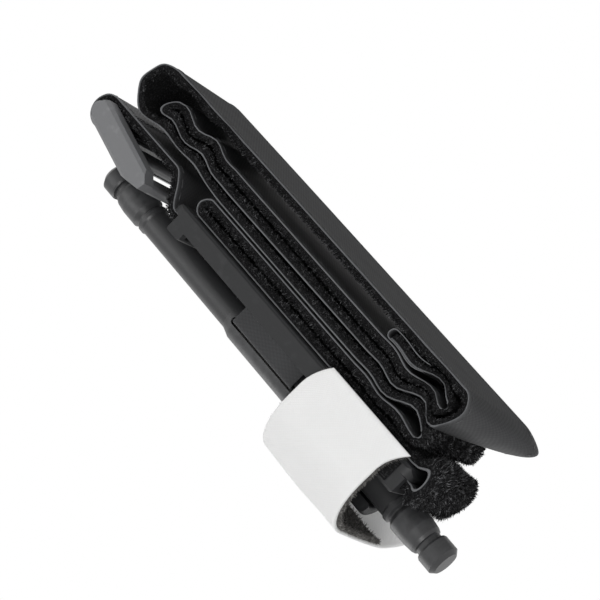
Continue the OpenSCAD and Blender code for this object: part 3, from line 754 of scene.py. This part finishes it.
loopRoot = loopRoot + inward * dice.uniform(loops["rootFrom"], loops["rootTo"], (len(loopAt), 1))
loopSide = np.sign(loopV) * ease(np.abs(loopV) - loops["rimFrom"]) * loops["rimLean"]  # outwards at the rims
loopLean = inward + dice.normal(scale=loops["stray"], size=loopRoot.shape)
loopLean = loopLean + np.stack([loopSide, 0 * loopAt, 0 * loopAt], 1)
liningFuzz = fibres("liningFuzz", liningFibre, loops, loopRoot, loopLean, loopAt, loopV, arch)

# two rows of stitches close the strap round the bar
barSeam = dict(rows=(4.2, 5.4), count=11, half=13.0, length=2.1, width=0.45, height=0.2)
rowZ = barZ + np.repeat(barSeam["rows"], barSeam["count"])
rowX = np.linspace(-barSeam["half"], barSeam["half"], barSeam["count"])
rowX = strapX + np.tile(rowX, len(barSeam["rows"]))
rowRoot = np.stack([rowX, 0 * rowX + rootY + halfThick - seam["sunk"], rowZ], 1)
rowWay, rowUp = np.tile([1.0, 0, 0], (len(rowX), 1)), np.tile([0, 1.0, 0], (len(rowX), 1))
rowPoints, rowFaces = stitchRow(rowRoot, rowWay, rowUp, barSeam["length"], barSeam["width"],
                                barSeam["height"])
strapSeam = putMesh("strapSeam", whiteThread, arch(rowPoints), rowFaces)
print("strap closed over the hook:", round(strapAlong[-1], 1), "mm")

hooks = dict(count=2600, shortest=0.2, longest=0.38, thick=0.12, clump=0.6, stray=0.3, ground=0.4, edge=0.15,
             sunk=0.05, insetX=0.2, insetZ=0.1)
patchLow, patchHigh = (np.array(corner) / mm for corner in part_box("grip_patch"))
patchWidth = patchHigh[0] - patchLow[0]
patchZ = np.linspace(patchLow[2], patchHigh[2], 9)


def onPatch(v, d):  # a flat patch with its face towards -Y
    x = np.broadcast_to((patchLow[0] + patchHigh[0]) / 2 + v, d.shape)
    return np.stack([x, patchHigh[1] - d, np.broadcast_to(patchZ[:, None], d.shape)], -1)


gripPatch = ribbon("gripPatch", pileGround, patchZ, onPatch, columns(patchWidth, hooks["edge"], 20), 0.0,
                   hooks["ground"], hooks["edge"], patchWidth, pale=0.0, fade=1.0)
hookX = dice.uniform(patchLow[0] + hooks["insetX"], patchHigh[0] - hooks["insetX"], hooks["count"])
hookZ = dice.uniform(patchLow[2] + hooks["insetZ"], patchHigh[2] - hooks["insetZ"], hooks["count"])
hookRoot = np.stack([hookX, 0 * hookX + patchHigh[1] - hooks["ground"] + hooks["sunk"], hookZ], 1)
hookLean = np.array([0, -1.0, 0]) + dice.normal(scale=hooks["stray"], size=hookRoot.shape)
patchHooks = fibres("patchHooks", pileFibre, hooks, hookRoot, hookLean, hookX, hookZ, np.asarray)

pull = dict(width=25.0, thick=0.6, edge=0.25, bend=0.7, legY=6.2, clear=0.02)
pullLow, bendZ = topRun - groundTopD + pull["clear"], rodZ - pull["bend"]
pullYz, pullAlong, _, pullLeft = route([  # up one side of the rod, through its slot and down the other side
    np.array([[pull["legY"], pullLow]]),
    arc(pull["legY"] - pull["bend"], bendZ, pull["bend"], 0, 90, 8),
    arc(-pull["legY"] + pull["bend"], bendZ, pull["bend"], 90, 90, 8),
    np.array([[-pull["legY"], pullLow]])], 0.5)


def onPull(v, d):  # the same for the pull band, in y and z
    yz = pullYz[:, None] + pullLeft[:, None] * d[..., None]
    return np.stack([np.broadcast_to(v, yz.shape[:2]), yz[..., 0], yz[..., 1]], -1)


pullLoop = ribbon("pullLoop", wovenTape, pullAlong, onPull, columns(pull["width"], pull["edge"], 18),
                  -pull["thick"] / 2, pull["thick"] / 2, pull["edge"], pull["width"],
                  pale=0.3, fade=0.3, strength=0.5)
print("pull band threaded:", round(pullAlong[-1], 1), "mm")

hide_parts("band_tape")
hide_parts("band_pile")
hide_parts("inner_band")
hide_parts("band_tip")
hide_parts("time_strap")
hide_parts("strap_lining")
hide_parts("grip_patch")
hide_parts("inner_band_loop")
for piece, body, slotName in [
        (bandTape, "pack", "band_tape"), (bandPile, "pack", "band_pile"), (innerBand, "pack", "pull_band"),
        (bandTip, "pack", "band_tip"), (bandFuzz, "pack", "band_pile"), (edgeFuzz, "pack", "band_pile"),
        (pairFuzz, "pack", "band_pile"), (rimFuzz, "pack", "band_pile"), (bandSeam, "pack", "band_tape"),
        (gripPatch, "pack", "grip_patch"), (patchHooks, "pack", "grip_patch"),
        (timeStrap, "strap", "strap_white"), (strapLining, "strap", "strap_lining"),
        (liningFuzz, "strap", "strap_lining"), (strapSeam, "strap", "strap_white")]:
    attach(piece, body)
(topRun + upper + 0.2) * mm
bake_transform(pullLoop)

view = dict(azimuth=-23.7, elevation=-9.0, roll=-135.1, lens=110.0, sensor=36.0, fill=0.90)
turn, tilt, spin = (math.radians(view[k]) for k in ("azimuth", "elevation", "roll"))
back = np.array([math.sin(turn) * math.cos(tilt), -math.cos(turn) * math.cos(tilt), math.sin(tilt)])
flatRight = np.array([math.cos(turn), math.sin(turn), 0])
right = flatRight * math.cos(spin) + np.cross(back, flatRight) * math.sin(spin)
up = np.cross(back, right)
corners = np.concatenate([np.array(o.bound_box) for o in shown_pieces()])
spans = [corners @ axis for axis in (right, up)]
middle = sum((s.max() + s.min()) / 2 * axis for s, axis in zip(spans, (right, up)))
middle = middle + back * (corners @ back).mean()
reach = max(np.ptp(s) for s in spans) / view["fill"] * view["lens"] / view["sensor"]
lookData = bpy.data.cameras.new("look")
lookData.lens, lookData.sensor_width = view["lens"], view["sensor"]
lookData.clip_start, lookData.clip_end = 0.01, 20
look = bpy.data.objects.new("look", lookData)
bpy.context.scene.collection.objects.link(look)
facing = Matrix(np.stack([right, up, back], 1).tolist()).to_4x4()
look.matrix_world = Matrix.Translation(Vector(middle + back * reach)) @ facing
bpy.context.scene.camera = look

studio = dict(floorRadius=0.75, floorRings=24, floorSpokes=64, floorDrop=0.05, floorGlow=0.42,
              floorColour=(0.9, 0.9, 0.9, 1), fadeFrom=0.10, fadeTo=0.42, sky=0.36)
lamps = dict(  # place, size and power
    key=((-0.42, -0.82, 0.10), 0.45, 3.6),
    fill=((0.60, -0.60, 0.40), 0.6, 1.6),
    top=((0.05, 0.25, 0.95), 0.7, 2.2),
    under=((0.0, -0.55, -0.60), 0.7, 0.9))
lampAim = Vector((0, 0, 0.02))


def background(start):  # 1 for what the camera sees, straight or in gloss or glass
    seen = [start.make("ShaderNodeLightPath", None, None, "Is %s Ray" % kind)
            for kind in ("Camera", "Glossy", "Transmission")]
    return start.sum("ADD", seen[0] + seen[1], seen[2], True)


floorPaint = bpy.data.materials.new("floorPaint")
floorPaint.use_nodes = True
floorPaint.node_tree.nodes.clear()
paint = Wire(floorPaint.node_tree)
place = coords(paint)
away = (place.axis(0) * place.axis(0) + place.axis(1) * place.axis(1)) ** 0.5
matte = paint.make("ShaderNodeBsdfDiffuse", None, {"Color": studio["floorColour"]})
gone = paint.make("ShaderNodeBsdfTransparent")
glowing = {"Color": (1, 1, 1, 1), "Strength": background(paint) * studio["floorGlow"]}
lit = paint.make("ShaderNodeAddShader", None, {0: matte, 1: paint.make("ShaderNodeEmission", None, glowing)})
# the floor fades out far away, lets light past, and is one-sided, like a sheet of clear glass from below
fromBelow = paint.make("ShaderNodeNewGeometry", None, None, "Backfacing")
shadowRay = paint.make("ShaderNodeLightPath", None, None, "Is Shadow Ray")
thin = paint.sum("ADD", away.within(studio["fadeFrom"], studio["fadeTo"]), fromBelow, True)
clearing = paint.sum("ADD", thin, shadowRay, True)
soft = paint.make("ShaderNodeMixShader", None, {0: clearing, 1: lit, 2: gone})
paint.make("ShaderNodeOutputMaterial", None, {"Surface": soft})
rings, spokes = studio["floorRings"], studio["floorSpokes"]
ringAt, spoke = np.meshgrid(np.linspace(0.00001, 1, rings) * studio["floorRadius"] / mm,
                            np.linspace(0, 2 * np.pi, spokes + 1)[:-1], indexing="ij")
floorZ = 0 * ringAt - studio["floorDrop"]
floorPoints = np.stack([ringAt * np.cos(spoke), ringAt * np.sin(spoke), floorZ], -1)
i, j = np.meshgrid(np.arange(rings - 1) * spokes, np.arange(spokes), indexing="ij")
k = (j + 1) % spokes
floorFaces = np.stack([i + j, i + spokes + j, i + spokes + k, i + k], -1).reshape(-1, 4)
floor = putMesh("floor", floorPaint, floorPoints, floorFaces)

for name, (spot, size, power) in lamps.items():
    data = bpy.data.lights.new(name, "AREA")
    data.shape, data.size, data.energy = "DISK", size, power
    lamp = bpy.data.objects.new(name, data)
    bpy.context.scene.collection.objects.link(lamp)
    lamp.location = spot
    lamp.rotation_euler = (lampAim - Vector(spot)).to_track_quat("-Z", "Y").to_euler()

world = bpy.data.worlds.new("studioSky")
bpy.context.scene.world = world
world.use_nodes = True
world.node_tree.nodes.clear()
sky = Wire(world.node_tree)
skyStrength = background(sky) * (1 - studio["sky"]) + studio["sky"]
pale = sky.make("ShaderNodeBackground", None, {"Color": (1, 1, 1, 1), "Strength": skyStrength})
sky.make("ShaderNodeOutputWorld", None, {"Surface": pale})
bpy.context.scene.view_settings.view_transform = "Standard"
print("studio lit, camera", round(float(reach), 3), "m away")
